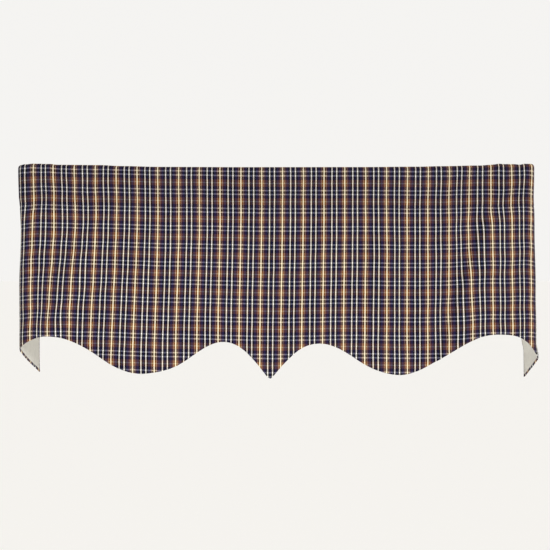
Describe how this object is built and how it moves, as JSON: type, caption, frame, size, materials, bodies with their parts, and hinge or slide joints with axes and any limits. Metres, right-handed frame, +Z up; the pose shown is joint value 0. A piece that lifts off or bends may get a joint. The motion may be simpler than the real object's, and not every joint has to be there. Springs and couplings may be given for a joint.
{
  "type": "window valance",
  "caption": "Scalloped plaid cloth window valance with a rod pocket along its top and a pointed middle, hanging with its ends turned back to the wall.",
  "frame": {"origin": "middle of the top fold, above the point of the hem, on the centre plane of the channel that takes the rod", "axes": "+X to the right of someone facing the window, -Y out of the front face into the room, +Y towards the wall, +Z up"},
  "size_m": [1.0607, 0.1199, 0.443],
  "materials": {
    "plaid_cloth": "matt woven cotton, plaid of navy, rust, gold and ivory",
    "lining_cloth": "matt plain-woven off-white lining"
  },
  "bodies": {
    "root": {"face_panel": "plaid_cloth", "pocket_strip": "plaid_cloth", "lining_panel": "lining_cloth"}
  },
  "joints": []
}
